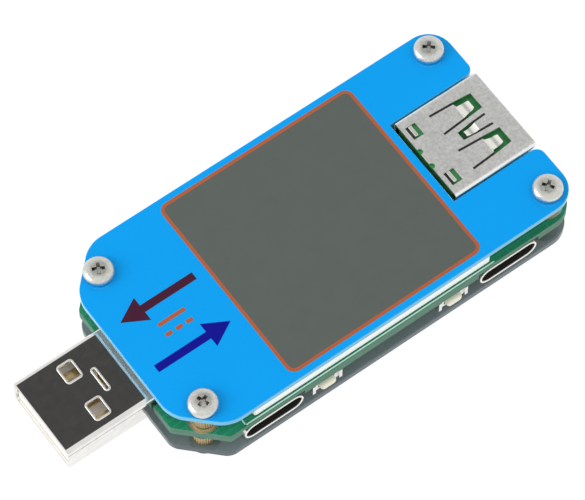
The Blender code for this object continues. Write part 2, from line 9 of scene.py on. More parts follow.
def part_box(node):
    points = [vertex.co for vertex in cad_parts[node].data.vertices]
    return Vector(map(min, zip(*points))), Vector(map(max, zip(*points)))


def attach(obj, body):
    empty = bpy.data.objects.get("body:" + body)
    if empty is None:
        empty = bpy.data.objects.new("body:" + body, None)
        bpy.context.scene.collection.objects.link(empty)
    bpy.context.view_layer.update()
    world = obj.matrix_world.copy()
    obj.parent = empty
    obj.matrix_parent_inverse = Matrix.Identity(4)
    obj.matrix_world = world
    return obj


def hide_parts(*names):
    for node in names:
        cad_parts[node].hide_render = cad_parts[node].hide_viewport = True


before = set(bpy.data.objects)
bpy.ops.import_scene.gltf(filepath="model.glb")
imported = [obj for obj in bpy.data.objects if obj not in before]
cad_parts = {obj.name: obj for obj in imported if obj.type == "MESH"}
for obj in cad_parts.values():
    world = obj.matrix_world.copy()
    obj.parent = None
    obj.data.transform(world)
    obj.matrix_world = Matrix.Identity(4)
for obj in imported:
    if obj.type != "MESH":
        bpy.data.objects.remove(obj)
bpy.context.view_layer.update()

mm = 0.001

# What the frame gives
panel_low, panel_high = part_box("front_panel")
board_low, board_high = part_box("main_board")
base_low, base_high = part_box("rear_panel")
plug_low, plug_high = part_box("plug_shell")
socket_low, socket_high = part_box("socket_shell")
plate_x0, plate_x1 = panel_low.x, panel_high.x
half_width = panel_high.y
corner_names = ("plug_near", "plug_far", "socket_near", "socket_far")

# How finely round shapes are made
corner_steps = 9
turned_steps = 48
rim = 0.08 * mm

# Plates and board
plug_end_chamfer = 5.3 * mm
front_chamfer_round = 4.0 * mm
base_chamfer_round = 2.0 * mm
board_chamfer_round = 0.6 * mm
socket_end_round = 3.5 * mm
notch_mouth_round = 1.2 * mm
notch_half = 6.7 * mm
notch_x = socket_low.x - 0.5 * mm
plug_notch_x = plug_high.x + 0.8 * mm
plug_notch_half = plug_high.y + 0.25 * mm
screw_hole_radius = 1.15 * mm
print_thickness = 0.02 * mm

# Printing on the front panel
window_x0 = plate_x0 + 15.1 * mm
window_x1 = notch_x - 1.1 * mm
window_half = half_width - 0.9 * mm
window_line = 0.47 * mm
window_round = 1.25 * mm
arrow_x0 = plate_x0 + 2.3 * mm
arrow_x1 = plate_x0 + 13.4 * mm
arrow_y = 3.85 * mm
arrow_shaft = 1.1 * mm
arrow_head = (3.3 * mm, 3.7 * mm)

# Metal
shell_wall = 0.3 * mm
sheet_edge = 0.1 * mm
past = 1 * mm

# Screws
head_height = 0.95 * mm
head_radius = 2.0 * mm
flat_head = [(0.0, 1.0), (0.45, 0.99), (0.72, 0.95), (0.83, 0.86), (0.92, 0.68), (0.98, 0.45), (1.0, 0.28),
             (1.0, 0.06), (0.97, 0.0)]
round_head = [(0.0, 1.0), (0.25, 0.98), (0.45, 0.91), (0.62, 0.79), (0.77, 0.61), (0.88, 0.42), (0.96, 0.22),
              (1.0, 0.06), (0.98, 0.0)]
screw_spins = {"plug_near": 20, "plug_far": 62, "socket_near": 35, "socket_far": 50}


# ---------------------------------------------------------------- shapes

turns = {
    "up": Matrix.Identity(4),
    "down": Matrix.Rotation(pi, 4, "X"),
    "minus_y": Matrix.Rotation(pi / 2, 4, "X"),
    "plus_y": Matrix.Rotation(pi, 4, "Z") @ Matrix.Rotation(pi / 2, 4, "X"),
    "plus_x": Matrix.Rotation(pi / 2, 4, "Z") @ Matrix.Rotation(pi / 2, 4, "X"),
    "minus_x": Matrix.Rotation(-pi / 2, 4, "Z") @ Matrix.Rotation(pi / 2, 4, "X"),
}


def put(shape, location, facing="up", spin=0.0):
    """Turns a shape about its own z, faces it and moves it to its place."""
    matrix = Matrix.Translation(location) @ turns[facing] @ Matrix.Rotation(spin, 4, "Z")
    bmesh.ops.transform(shape, matrix=matrix, verts=shape.verts)
    return shape


def finish_piece(name, shape, surface, body="meter", replaces=(), sharp=20):
    """Makes the piece, gives it its surface and lets it ride on its body."""
    mesh = bpy.data.meshes.new(name)
    shape.to_mesh(mesh)
    shape.free()
    mesh.shade_smooth()
    mesh.set_sharp_from_angle(angle=radians(sharp))
    piece = bpy.data.objects.new(name, mesh)
    bpy.context.scene.collection.objects.link(piece)
    mesh.materials.append(surface)
    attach(piece, body)
    if replaces:
        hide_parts(*replaces)


def round_corner(shape, vert, radius, steps=corner_steps):
    """Rounds one corner of a flat outline to a radius."""
    first, second = [edge.other_vert(vert).co - vert.co for edge in vert.link_edges]
    offset = radius * tan((pi - first.angle(second)) / 2)
    bmesh.ops.bevel(shape, geom=[vert], offset=offset, offset_type="OFFSET", affect="VERTICES",
                    segments=steps, profile=0.5, material=-1)


def outline_face(shape, corners, z=0.0, steps=corner_steps):
    """A flat face from its corners, (x, y) or (x, y, radius) each, anticlockwise."""
    verts = [shape.verts.new((corner[0], corner[1], z)) for corner in corners]
    shape.faces.new(verts)
    shape.normal_update()
    for vert, corner in zip(verts, corners):
        if len(corner) > 2 and corner[2] > 0:
            round_corner(shape, vert, corner[2], steps)
    return shape.faces[:][0]


def push(shape, faces, depth):
    """Extrudes faces by a depth along z; the first ones stay as the other side."""
    result = bmesh.ops.extrude_face_region(shape, geom=faces, use_keep_orig=True)
    moved = [item for item in result["geom"] if isinstance(item, bmesh.types.BMVert)]
    bmesh.ops.translate(shape, vec=(0, 0, depth), verts=moved)


def ease(shape, width, levels, segments=2):
    """Bevels the edges that lie at the given heights."""
    near = width * 0.01
    edges = [edge for edge in shape.edges if len(edge.link_faces) == 2
             and any(all(abs(vert.co.z - z) < near for vert in edge.verts) for z in levels)
             and edge.calc_face_angle(0.0) > radians(50)]
    bmesh.ops.bevel(shape, geom=edges, offset=width, offset_type="OFFSET", affect="EDGES",
                    segments=segments, profile=0.5, material=-1, clamp_overlap=True)


def slab(corners, low, high, edge=rim, steps=corner_steps):
    """A flat piece with an outline, eased along its upper and lower edges."""
    shape = bmesh.new()
    outline_face(shape, corners, low, steps)
    push(shape, shape.faces[:], high - low)
    bmesh.ops.recalc_face_normals(shape, faces=shape.faces)
    if edge:
        ease(shape, edge, (low, high))
    return shape


def prism(corners, low, high):
    """A straight-sided solid on an outline."""
    return slab(corners, low, high, 0)


def ring(corners, width, low, high):
    """A flat band inside an outline."""
    shape = bmesh.new()
    face = outline_face(shape, corners, low)
    shape.normal_update()
    band = bmesh.ops.inset_individual(shape, faces=[face], thickness=width, use_even_offset=True)["faces"]
    bmesh.ops.delete(shape, geom=[face], context="FACES_ONLY")
    push(shape, band, high - low)
    bmesh.ops.recalc_face_normals(shape, faces=shape.faces)
    return shape


def sleeve(corners, wall, length):
    """A metal wall along an outline, open at both ends, from its mouth at z = 0 down."""
    shape = ring(corners, wall, 0.0, -length)
    ease(shape, sheet_edge, (0.0,))
    return shape


def rectangle(x0, x1, y0, y1, radius=0.0):
    return [(x0, y0, radius), (x1, y0, radius), (x1, y1, radius), (x0, y1, radius)]


def grown(corners, by, radius):
    """A rectangle's corners moved out by a distance, and rounded to a radius."""
    (x0, y0, _), _, (x1, y1, _), _ = corners
    return rectangle(x0 - by, x1 + by, y0 - by, y1 + by, radius)


def oblong(x, y, length, width, radius):
    """A rectangle about its middle."""
    return rectangle(x - length / 2, x + length / 2, y - width / 2, y + width / 2, radius)


def block(x0, x1, y0, y1, z0, z1, edge=0):
    """A box with every edge eased, if an edge is given."""
    shape = bmesh.new()
    bmesh.ops.create_cube(shape, size=1.0)
    bmesh.ops.scale(shape, vec=(x1 - x0, y1 - y0, z1 - z0), verts=shape.verts)
    bmesh.ops.translate(shape, vec=((x0 + x1) / 2, (y0 + y1) / 2, (z0 + z1) / 2), verts=shape.verts)
    if edge:
        bmesh.ops.bevel(shape, geom=shape.edges[:], offset=edge, offset_type="OFFSET", affect="EDGES",
                        segments=2, profile=0.5, material=-1, clamp_overlap=True)
    return shape


def turned(profile, steps=turned_steps):
    """A profile of (radius, height) points turned about z."""
    shape = bmesh.new()
    verts = [shape.verts.new((radius, 0.0, height)) for radius, height in profile]
    edges = [shape.edges.new(pair) for pair in zip(verts, verts[1:])]
    bmesh.ops.spin(shape, geom=verts + edges, cent=(0, 0, 0), axis=(0, 0, 1), dvec=(0, 0, 0),
                   angle=2 * pi, steps=steps, use_merge=True)
    bmesh.ops.remove_doubles(shape, verts=shape.verts, dist=1e-7)
    bmesh.ops.recalc_face_normals(shape, faces=shape.faces)
    return shape


def can(corners, wall, depth, pocket, edge, steps=corner_steps):
    """A wall along an outline with a closed back: its mouth is at z = 0 and it reaches down."""
    shape = bmesh.new()
    front = outline_face(shape, corners, 0.0, steps)
    push(shape, [front], -depth)
    bmesh.ops.recalc_face_normals(shape, faces=shape.faces)
    shape.normal_update()
    bmesh.ops.inset_region(shape, faces=[front], thickness=wall, use_even_offset=True)
    push(shape, [front], -pocket)
    bmesh.ops.delete(shape, geom=[front], context="FACES_ONLY")
    bmesh.ops.recalc_face_normals(shape, faces=shape.faces)
    if edge:
        ease(shape, edge, (0.0,))
    return shape


def join(shapes):
    """One bmesh from several; the others are freed."""
    whole = bmesh.new()
    for shape in shapes:
        mesh = bpy.data.meshes.new("part")
        shape.to_mesh(mesh)
        shape.free()
        whole.from_mesh(mesh)
        bpy.data.meshes.remove(mesh)
    return whole


def cut(shape, cutters):
    """The shape less each of the cutters, as a new bmesh."""
    objects = []
    for item in [shape] + cutters:
        mesh = bpy.data.meshes.new("cut")
        item.to_mesh(mesh)
        item.free()
        objects.append(bpy.data.objects.new("cut", mesh))
        bpy.context.scene.collection.objects.link(objects[-1])
    body = objects[0]
    for cutter in objects[1:]:
        boolean = body.modifiers.new("cut", "BOOLEAN")
        boolean.object = cutter
        boolean.operation = "DIFFERENCE"
    evaluated = body.evaluated_get(bpy.context.evaluated_depsgraph_get())
    result = bmesh.new()
    result.from_mesh(evaluated.to_mesh())
    evaluated.to_mesh_clear()
    for item in objects:
        mesh = item.data
        bpy.data.objects.remove(item)
        bpy.data.meshes.remove(mesh)
    return result


def rod(radius, x, y, low, high, steps=turned_steps):
    """An upright rod, to drill with."""
    shape = bmesh.new()
    bmesh.ops.create_cone(shape, cap_ends=True, segments=steps, radius1=radius, radius2=radius,
                          depth=high - low)
    bmesh.ops.translate(shape, vec=(x, y, (low + high) / 2), verts=shape.verts)
    return shape


def centre(node):
    """The middle of a node's box."""
    low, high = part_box(node)
    return (low + high) / 2


# ---------------------------------------------------------------- surfaces


class Value:
    """A socket of a surface's graph; arithmetic on it adds Math nodes."""

    def __init__(self, graph, socket):
        self.graph = graph
        self.socket = socket

    def math(self, operation, *others):
        inputs = dict(enumerate((self, *others)))
        return self.graph.node("ShaderNodeMath", {"operation": operation}, inputs)

    def __add__(self, other):
        return self.math("ADD", other)

    def __sub__(self, other):
        return self.math("SUBTRACT", other)

    def __rsub__(self, other):
        return self * -1.0 + other

    def __mul__(self, other):
        return self.math("MULTIPLY", other)

    def __gt__(self, other):
        return self.math("GREATER_THAN", other)

    def __lt__(self, other):
        return self.math("LESS_THAN", other)

    def __abs__(self):
        return self.math("ABSOLUTE")

    __radd__ = __add__
    __rmul__ = __mul__


class Graph:
    """A node tree under construction."""

    def __init__(self, tree):
        self.tree = tree

    def fill(self, socket, value):
        if isinstance(value, Value):
            self.tree.links.new(value.socket, socket)
        else:
            socket.default_value = value

    def node(self, kind, settings=None, inputs=None, output=0):
        """Adds a node: its settings first, then the values or links of its sockets."""
        made = self.tree.nodes.new(kind)
        for key, value in (settings or {}).items():
            setattr(made, key, value)
        for key, value in (inputs or {}).items():
            self.fill(made.inputs[key], value)
        return Value(self, made.outputs[output])


class Surface(Graph):
    """A material under construction: its Principled shader and what feeds it."""

    def __init__(self, name, colour, roughness, metallic=0.0, glassy=False):
        self.material = bpy.data.materials.new(name)
        self.material.use_nodes = True
        self.material.diffuse_color = (*colour, 1.0)
        super().__init__(self.material.node_tree)
        self.shader = self.tree.nodes["Principled BSDF"]
        self.colour = (*colour, 1.0)
        self.set("Base Color", self.colour)
        self.set("Roughness", roughness)
        self.set("Metallic", metallic)
        if glassy:
            self.set("IOR", 1.49)

    def set(self, socket, value):
        self.fill(self.shader.inputs[socket], value)

    def place(self, scale=(1.0, 1.0, 1.0)):
        """Object coordinates, stretched by a scale."""
        point = self.node("ShaderNodeTexCoord", output="Object")
        return self.node("ShaderNodeMapping", None, {"Vector": point, "Scale": scale})

    def noise(self, size, detail=3.0, scale=(1.0, 1.0, 1.0)):
        """Noise with features of a size in metres, from 0 to 1."""
        return self.node("ShaderNodeTexNoise", None,
                         {"Vector": self.place(scale), "Scale": 1.0 / size, "Detail": detail})

    def mix(self, factor, first, second):
        """A colour between two."""
        return self.node("ShaderNodeMix", {"data_type": "RGBA"}, {0: factor, 6: first, 7: second}, 2)

    def shade(self, amount, factor):
        """The surface's own colour, lighter and darker by an amount as the factor goes from 0 to 1."""
        dark = tuple(part * (1 - amount) for part in self.colour[:3]) + (1.0,)
        light = tuple(min(1.0, part * (1 + amount)) for part in self.colour[:3]) + (1.0,)
        return self.mix(factor, dark, light)

    def facing(self):
        """How far a face looks up, from -1 to 1."""
        normal = self.node("ShaderNodeNewGeometry", output="Normal")
        return self.node("ShaderNodeSeparateXYZ", None, {0: normal}, 2)

    def steepness(self):
        """1 on upright faces and 0 on flat ones."""
        return abs(self.facing()) < 0.6

    def bump(self, height, distance, strength):
        """Raises the surface by up to a distance."""
        made = self.node("ShaderNodeBump", None,
                         {"Height": height, "Distance": distance, "Strength": strength})
        self.set("Normal", made)


def acrylic_blue():
    look = Surface("blue_acrylic", (0.004, 0.345, 0.86), 0.1, glassy=True)
    face = look.shade(0.035, look.noise(14 * mm, 1.0))
    sawn = look.mix(look.noise(0.6 * mm), (0.06, 0.38, 0.62, 1), (0.11, 0.48, 0.70, 1))
    paler_back = (0.55, 0.68, 0.76, 1)
    behind = look.mix(look.facing() < -0.6, sawn, paler_back)
    look.set("Base Color", look.mix(look.facing() > 0.6, behind, face))
    look.set("Roughness", look.noise(3 * mm) * 0.05 + 0.08)
    look.bump(look.noise(5 * mm, 2.0), 0.01 * mm, 0.5)
    return look.material


def acrylic_smoke():
    look = Surface("smoke_acrylic", (0.165, 0.225, 0.24), 0.12, glassy=True)
    sawn = look.steepness()
    see_through = (1 - sawn) * 0.18
    darker_edge = (0.03, 0.055, 0.075, 1)
    look.set("Base Color", look.mix(sawn, look.shade(0.08, look.noise(6 * mm)), darker_edge))
    look.set("Alpha", 1 - see_through)
    look.set("Roughness", look.noise(3 * mm) * 0.06 + 0.08)
    return look.material


def board_green():
    """Lacquer over traces on the flats, and the laminate's layers along the edge."""
    look = Surface("green_board", (0.010, 0.235, 0.115), 0.3)
    traces = look.node("ShaderNodeTexBrick", {"offset": 0.37, "squash": 0.6},
                       {"Vector": look.place(), "Scale": 1.0, "Brick Width": 3.1 * mm, "Row Height": 0.9 * mm,
                        "Mortar Size": 0.12 * mm, "Mortar Smooth": 0.3}, "Fac")
    over_traces = (0.014, 0.30, 0.15, 1)
    lacquer = look.mix(traces, look.shade(0.12, look.noise(2 * mm)), over_traces)
    layers = look.noise(0.25 * mm, 2.0, (0.15, 0.15, 1.0))
    laminate = look.mix(layers, (0.035, 0.12, 0.075, 1), (0.10, 0.25, 0.175, 1))
    look.set("Base Color", look.mix(look.steepness(), lacquer, laminate))
    look.set("Roughness", look.steepness() * 0.35 + 0.28)
    look.bump(traces, 0.03 * mm, 0.4)
    return look.material


def plastic(name, colour, roughness=0.45):
    look = Surface(name, colour, roughness)
    look.set("Base Color", look.shade(0.05, look.noise(3 * mm)))
    look.set("Roughness", look.noise(1.5 * mm) * 0.12 + (roughness - 0.06))
    look.bump(look.noise(0.25 * mm, 2.0), 0.01 * mm, 0.5)
    return look.material


def metal(name, colour, roughness, spread=0.1, grain=0.3 * mm, depth=0.004 * mm, shade=0.06):
    """Metal with a grain; the faces that are marked as the walls of a recess get a painted shade."""
    look = Surface(name, colour, roughness, 1.0)
    shade_in_recess = look.node("ShaderNodeAttribute", {"attribute_name": "shade_in_recess"}, output="Fac")
    # painted shade: a dark colour for the walls of a screw's recess, where shade falls
    recess_shade_colour = (0.20, 0.19, 0.175, 1)
    look.set("Base Color", look.mix(shade_in_recess, look.shade(shade, look.noise(grain, 4.0)), recess_shade_colour))
    look.set("Roughness", (look.noise(0.9 * mm, 3.0) - 0.5) * spread + roughness)
    look.bump(look.noise(grain, 3.0), depth, 0.6)
    return look.material


def sheet_steel(name, colour):
    """Rolled sheet: speckled on its flats, with a painted sheen, a lighter colour, on the faces where it is
    bent down at the edges.
    """
    look = Surface(name, colour, 0.36, 1.0)
    flat = abs(look.facing()) > 0.92
    # painted highlight: the bent-down edges get a lighter colour for the bright band that they mirror
    painted_edge_sheen = (0.96, 0.95, 0.92, 1)
    speckled = look.shade(0.4, look.noise(0.4 * mm, 4.0))
    look.set("Base Color", look.mix(flat, painted_edge_sheen, speckled))
    look.set("Roughness", flat * 0.12 + look.noise(0.9 * mm) * 0.1 + 0.2)
    look.bump(look.noise(0.4 * mm), 0.03 * mm, 0.6)
    return look.material


def ink(name, colour):
    look = Surface(name, colour, 0.14, glassy=True)
    look.set("Base Color", look.shade(0.05, look.noise(2 * mm)))
    look.set("Roughness", look.noise(3 * mm) * 0.05 + 0.1)
    return look.material


blue_acrylic = acrylic_blue()
smoke_acrylic = acrylic_smoke()
green_board = board_green()
white_plastic = plastic("white_plastic", (0.94, 0.97, 0.97))
cream_plastic = plastic("cream_plastic", (0.83, 0.80, 0.66))
ivory_plastic = plastic("ivory_plastic", (0.95, 0.92, 0.85))
green_plastic = plastic("green_plastic", (0.03, 0.25, 0.068))
# black plastic of the parts, and also the material of the black pieces that paint the shade inside the
# sockets
black_plastic = plastic("black_plastic", (0.018, 0.018, 0.018), 0.5)
amber_film = plastic("amber_film", (0.55, 0.25, 0.05), 0.3)
brown_ceramic = plastic("brown_ceramic", (0.35, 0.22, 0.13), 0.5)
dark_glass = ink("dark_glass", (0.02, 0.022, 0.022))
polished_steel = metal("polished_steel", (0.80, 0.785, 0.765), 0.07, 0.04, 1.1 * mm, 0.006 * mm, 0.16)
silver_steel = sheet_steel("silver_steel", (0.84, 0.835, 0.77))
bright_steel = metal("bright_steel", (0.80, 0.79, 0.76), 0.3, 0.12, 0.3 * mm, 0.004 * mm)
pale_steel = metal("pale_steel", (0.88, 0.87, 0.82), 0.32, 0.12, 0.2 * mm, 0.004 * mm)
screw_steel = metal("screw_steel", (0.67, 0.67, 0.63), 0.32, 0.14, 0.3 * mm, 0.03 * mm, 0.3)
brass = metal("brass", (0.50, 0.37, 0.165), 0.28, 0.1, 0.3 * mm, 0.01 * mm, 0.2)
gold = metal("gold", (1.0, 0.76, 0.40), 0.3)
solder = metal("solder", (0.70, 0.70, 0.68), 0.25, 0.1, 0.4 * mm, 0.01 * mm)
window_ink = ink("window_ink", (0.108, 0.123, 0.111))
orange_ink = ink("orange_ink", (0.42, 0.115, 0.045))
red_ink = ink("red_ink", (0.062, 0.013, 0.034))
navy_ink = ink("navy_ink", (0.006, 0.006, 0.27))
white_ink = ink("white_ink", (0.68, 0.92, 0.82))


# ---------------------------------------------------------------- plates and printing


def plate_corners(chamfer_round, notches):
    """The outline that the plates and the board share, with the notches that are asked for."""
    x0, x1, y = plate_x0, plate_x1, half_width
    inner = y - plug_end_chamfer
    near = [(x0 + plug_end_chamfer, -y, chamfer_round), (x1, -y, socket_end_round)]
    socket_notch = [(x1, -notch_half, notch_mouth_round), (notch_x, -notch_half),
                    (notch_x, notch_half), (x1, notch_half, notch_mouth_round)]
    far = [(x1, y, socket_end_round), (x0 + plug_end_chamfer, y, chamfer_round)]
    end = [(x0, inner, chamfer_round), (x0, -inner, chamfer_round)]
    plug_notch = [(x0, plug_notch_half), (plug_notch_x, plug_notch_half),
                  (plug_notch_x, -plug_notch_half), (x0, -plug_notch_half)]
    corners = near + (socket_notch if "socket" in notches else []) + far
    return corners + end[:1] + (plug_notch if "plug" in notches else []) + end[1:]


def screw_places():
    return [centre("front_screw_" + name) for name in corner_names]


def drilled(shape, low, high):
    """The shape with the four screw holes."""
    return cut(shape, [rod(screw_hole_radius, p.x, p.y, low - past, high + past) for p in screw_places()])


def add_plates():
    front = slab(plate_corners(front_chamfer_round, ("socket",)), panel_low.z, panel_high.z)
    finish_piece("panel", drilled(front, panel_low.z, panel_high.z), blue_acrylic,
                 replaces=["front_panel"])
    base = slab(plate_corners(base_chamfer_round, ()), base_low.z, base_high.z)
    finish_piece("base_plate", drilled(base, base_low.z, base_high.z), smoke_acrylic,
                 replaces=["rear_panel"])
    board = slab(plate_corners(board_chamfer_round, ("socket", "plug")), board_low.z, board_high.z,
                 0.03 * mm)
    seats = []
    gap = 0.25 * mm
    for node in ("usb_c_input_shell", "usb_c_output_shell"):
        low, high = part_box(node)
        seats.append(block(low.x - gap, high.x + gap, low.y - past, high.y + gap, low.z, high.z + gap))
    finish_piece("circuit_board", cut(drilled(board, board_low.z, board_high.z), seats), green_board,
                 replaces=["main_board"])


def add_print():
    """The window with its line, the two arrows for the way the current flows, and the mark between."""
    low = panel_high.z
    high = low + print_thickness
    outer = rectangle(window_x0, window_x1, -window_half, window_half, window_round)
    finish_piece("window_line", ring(outer, window_line, low, high), orange_ink)
    inner = grown(outer, -window_line, window_round - window_line)
    finish_piece("window", prism(inner, low, high), window_ink)
    for name, side, surface in (("arrow_to_plug", 1, red_ink), ("arrow_to_socket", -1, navy_ink)):
        length, half = arrow_x1 - arrow_x0, arrow_shaft / 2
        head, head_half = arrow_head[0], arrow_head[1] / 2
        corners = [(0, 0), (head, -head_half), (head, -half), (length, -half),
                   (length, half), (head, half), (head, head_half)]
        shape = prism(corners, 0, print_thickness)
        start = arrow_x0 if side > 0 else arrow_x1
        put(shape, (start, side * arrow_y, low), spin=0 if side > 0 else pi)
        finish_piece(name, shape, surface)
    middle = (arrow_x0 + arrow_x1) / 2
    bar, gap, thick = 4.0 * mm, 0.55 * mm, 0.55 * mm
    bars = [prism(rectangle(middle - bar / 2, middle + bar / 2, gap, gap + thick), low, high)]
    dash = bar / 4.2
    for step in (-1, 0, 1):
        x = middle + step * (bar - dash) / 2
        bars.append(prism(rectangle(x - dash / 2, x + dash / 2, -gap - thick, -gap), low, high))
    finish_piece("direct_current_mark", join(bars), orange_ink)


def add_board_print():
    """White lines and tinned rings on the board."""
    low = board_high.z
    high = low + print_thickness
    edge = half_width - 0.12 * mm
    line = 0.17 * mm
    x0 = plate_x0 + 7.6 * mm
    x1 = notch_x + 0.2 * mm
    bars = []
    for side in (-1, 1):
        y = side * edge
        bars.append(prism(rectangle(x0, x1, min(y, y - side * line), max(y, y - side * line)), low, high))
        reach = side * (half_width - 2.6 * mm)
        bars.append(prism(rectangle(x0, x0 + line, min(y, reach), max(y, reach)), low, high))
    finish_piece("board_lines", join(bars), white_ink)
    pads = []
    inner, outer, thick = screw_hole_radius, 2.15 * mm, 0.03 * mm
    for place in screw_places():
        for z in (board_high.z, board_low.z - thick):
            shape = turned([(inner, 0), (outer, 0), (outer, thick), (inner, thick), (inner, 0)])
            pads.append(put(shape, (place.x, place.y, z)))
    finish_piece("board_pads", join(pads), solder)


# ---------------------------------------------------------------- screws and spacers


def screw_shape(length, outline):
    """A pan-head screw, upright, with the underside of its head at z = 0."""
    profile = [(share * head_radius, level * head_height) for share, level in outline]
    root, crest, pitch = 0.82 * mm, 1.0 * mm, 0.4 * mm
    profile.append((root, 0.0))
    for turn in range(int((length - pitch) / pitch)):
        profile += [(root, -(turn + 0.2) * pitch), (crest, -(turn + 0.5) * pitch),
                    (root, -(turn + 0.8) * pitch)]
    profile += [(root, -length + 0.25 * mm), (root * 0.6, -length), (0.0, -length)]
    shape = turned(profile)
    blades = []
    for spin in (0.0, pi / 2):
        blade = bmesh.new()
        bmesh.ops.create_cube(blade, size=1.0)
        bmesh.ops.scale(blade, vec=(1.95 * mm, 0.5 * mm, 0.7 * mm), verts=blade.verts)
        low = [vert for vert in blade.verts if vert.co.z < 0]
        bmesh.ops.scale(blade, vec=(0.45, 0.7, 1.0), verts=low)
        blades.append(put(blade, (0, 0, head_height - 0.15 * mm), spin=spin))
    return mark_recess(cut(shape, blades))


def mark_recess(shape):
    """Marks the walls of a screw's recess, for the painted shade that the metal gives them."""
    shape.normal_update()
    # the attribute that tells the metal where to paint the shade of the recess
    layer = shape.faces.layers.float.new("shade_in_recess")
    for face in shape.faces:
        middle = face.calc_center_median()
        inside = middle.xy.length < 1.2 * mm and 0.1 * mm < middle.z < head_height - 0.05 * mm
        if inside and face.normal.z < 0.9:
            face[layer] = 1.0
    return shape


def add_screws():
    for kind, facing, outline in (("front_screw_", "up", flat_head), ("rear_screw_", "down", round_head)):
        low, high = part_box(kind + corner_names[0])
        length = high.z - low.z - head_height
        for name in corner_names:
            node_low, node_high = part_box(kind + name)
            place = (node_low + node_high) / 2
            place.z = node_high.z - head_height if facing == "up" else node_low.z + head_height
            shape = screw_shape(length, outline)
            put(shape, place, facing, radians(screw_spins[name]))
            finish_piece(kind + "piece_" + name, shape, screw_steel, replaces=[kind + name],
                         sharp=30)


def spacer_shape(height, stud):
    """A knurled spacer, bored from the top; a stud goes down from it if it has a length."""
    radius, bore, chamfer = 1.75 * mm, 1.15 * mm, 0.25 * mm
    stud_radius, stud_tip, floor, tip = 0.95 * mm, 0.75 * mm, 0.3 * mm, 0.2 * mm
    steps, groove = 72, 0.945
    side = [(bore, height), (radius - chamfer, height), (radius, height - chamfer), (radius, chamfer),
            (radius - chamfer, 0.0)]
    if stud:
        profile = [(0.0, floor), (bore, floor)] + side
        profile += [(stud_radius, 0.0), (stud_radius, tip - stud), (stud_tip, -stud), (0.0, -stud)]
    else:
        profile = side + [(bore, 0.0), (bore, height)]
    shape = turned(profile, steps)
    for vert in shape.verts:
        step = round(atan2(vert.co.y, vert.co.x) * steps / (2 * pi))
        if step % 2 and vert.co.xy.length > radius - 0.01 * mm:
            bmesh.ops.scale(shape, vec=(groove, groove, 1.0), verts=[vert])
    return shape


def add_spacers():
    seat = board_high.z + 0.25 * mm
    for name in corner_names:
        low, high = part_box("upper_spacer_" + name)
        shape = spacer_shape(high.z - seat, seat - low.z)
        put(shape, ((low.x + high.x) / 2, (low.y + high.y) / 2, seat))
        finish_piece("top_spacer_" + name, shape, brass, replaces=["upper_spacer_" + name],
                     sharp=15)
        low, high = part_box("lower_spacer_" + name)
        shape = spacer_shape(high.z - low.z, 0)
        put(shape, ((low.x + high.x) / 2, (low.y + high.y) / 2, low.z))
        finish_piece("bottom_spacer_" + name, shape, brass, replaces=["lower_spacer_" + name],
                     sharp=15)


# ---------------------------------------------------------------- display


def add_display():
    low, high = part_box("display_housing")
    corner, wall, pocket, edge = 0.35 * mm, 0.45 * mm, 1.15 * mm, 0.06 * mm
    shape = can(rectangle(low.x, high.x, low.y, high.y, corner), wall, high.z - low.z, pocket, edge)
    finish_piece("display_frame", put(shape, (0, 0, high.z)), white_plastic,
                 replaces=["display_housing"])


# ---------------------------------------------------------------- plug


def section_corners(low, high, radius):
    """A connector's section, across in y and up in z, about its own middle."""
    half, rise = (high.y - low.y) / 2, (high.z - low.z) / 2
    return rectangle(-half, half, -rise, rise, radius)


def lip(corners, width):
    """A rolled lip round a hole, upright on z = 0."""
    sunk, height = 0.02 * mm, 0.1 * mm
    shape = ring(corners, width, -sunk, height)
    ease(shape, height * 0.7, (height,), 3)
    return shape


def add_plug():
    middle = (plug_low + plug_high) / 2
    body = sleeve(section_corners(plug_low, plug_high, 0.68 * mm), shell_wall, plug_high.x - plug_low.x)
    put(body, (plug_low.x, 0, middle.z), "minus_x")
    low, high = plug_low.z - past, plug_high.z + past
    cutters = []
    lips = []
    hole_x, hole_y = plug_low.x + 6.45 * mm, 3.05 * mm
    hole_length, hole_width = 1.95 * mm, 2.5 * mm
    for side in (-1, 1):
        hole = oblong(hole_x, side * hole_y, hole_length, hole_width, 0.32 * mm)
        cutters.append(prism(hole, low, high))
        outer = grown(hole, 0.22 * mm, 0.5 * mm)
        lips.append(put(lip(outer, 0.26 * mm), (0, 0, plug_high.z)))
        mirrored = [(x, -y, radius) for x, y, radius in outer][::-1]
        lips.append(put(lip(mirrored, 0.26 * mm), (0, 0, plug_low.z), "down"))
    slot_x, slot_length, slot_width = plug_low.x + 8.95 * mm, 0.36 * mm, 3.2 * mm
    slot = oblong(slot_x, 0, slot_length, slot_width, 0.2 * mm)
    cutters.append(prism(slot, middle.z, high))
    lips.append(put(lip(grown(slot, 0.26 * mm, 0.41 * mm), 0.25 * mm), (0, 0, plug_high.z)))
    x0, x1 = plug_low.x - past, plug_high.x + past
    seam_half, seam_depth = 0.04 * mm, 0.2 * mm
    cutters.append(block(x0, x1, -seam_half, seam_half, low, plug_low.z + seam_depth))
    crease_z, crease_half, crease_depth = plug_high.z - 0.78 * mm, 0.07 * mm, 0.1 * mm
    for y in (plug_low.y, plug_high.y):
        cutters.append(block(x0, x1, y - crease_depth, y + crease_depth,
                             crease_z - crease_half, crease_z + crease_half))
    finish_piece("plug_can", cut(body, cutters), polished_steel, replaces=["plug_shell"])
    finish_piece("plug_rims", join(lips), pale_steel)


# ---------------------------------------------------------------- socket

slit = 0.32 * mm
through = 0.6 * mm


def spring_shape(stations):
    """A leaf spring of the shell along x; each station has its x, its two sides and its height."""
    shape = bmesh.new()
    rows = [[shape.verts.new((x, side, z)) for side in (near, far)] for x, near, far, z in stations]
    for first, second in zip(rows, rows[1:]):
        shape.faces.new((first[0], second[0], second[1], first[1]))
    shape.normal_update()
    bmesh.ops.solidify(shape, geom=shape.faces[:], thickness=shell_wall * 0.8)
    bmesh.ops.recalc_face_normals(shape, faces=shape.faces)
    return shape


